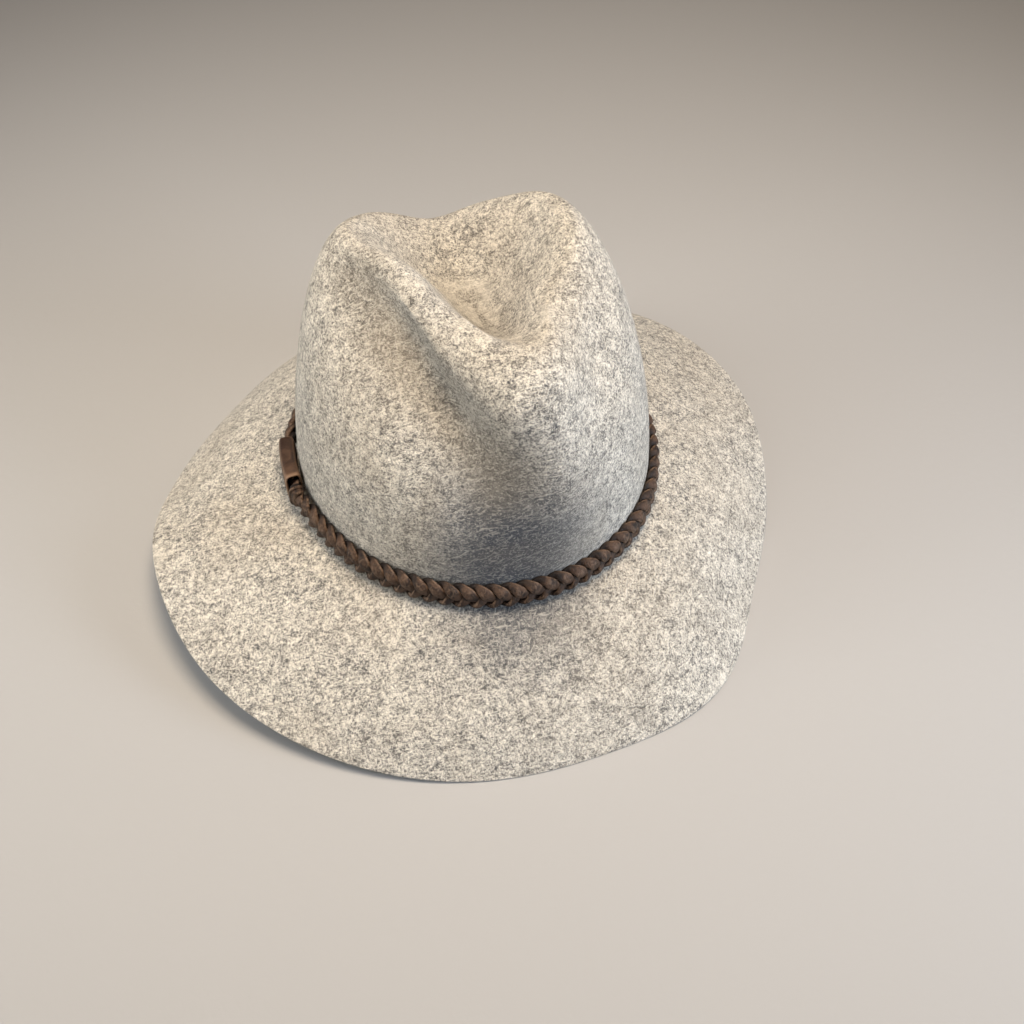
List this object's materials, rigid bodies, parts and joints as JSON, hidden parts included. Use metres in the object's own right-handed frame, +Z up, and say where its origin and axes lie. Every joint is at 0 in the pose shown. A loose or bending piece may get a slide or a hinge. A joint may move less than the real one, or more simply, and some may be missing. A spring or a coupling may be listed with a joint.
{
  "type": "wool felt fedora hat with a plaited leather band",
  "caption": "Soft wool felt fedora with a pinched teardrop crown, a wide drooping raw-edge brim and a plaited leather lace band closed by a leather keeper.",
  "frame": {"origin": "on the plane that the brim rests on, under the middle of the hat's outline seen from above", "axes": "+Z up through the crown, -Y towards the front pinch, +X on the right as seen from the front"},
  "size_m": [0.3282, 0.3248, 0.1619],
  "materials": {
    "felt": "heathered light grey and beige wool felt, matt and slightly hairy",
    "lace_leather": "dark brown flat lace with paler worn edges",
    "keeper_leather": "smooth brown leather with a soft shine"
  },
  "bodies": {
    "root": {"felt_body": "felt", "braid_strand_1": "lace_leather", "braid_strand_2": "lace_leather", "braid_strand_3": "lace_leather", "keeper": "keeper_leather", "lace_turn": "lace_leather"}
  },
  "joints": []
}
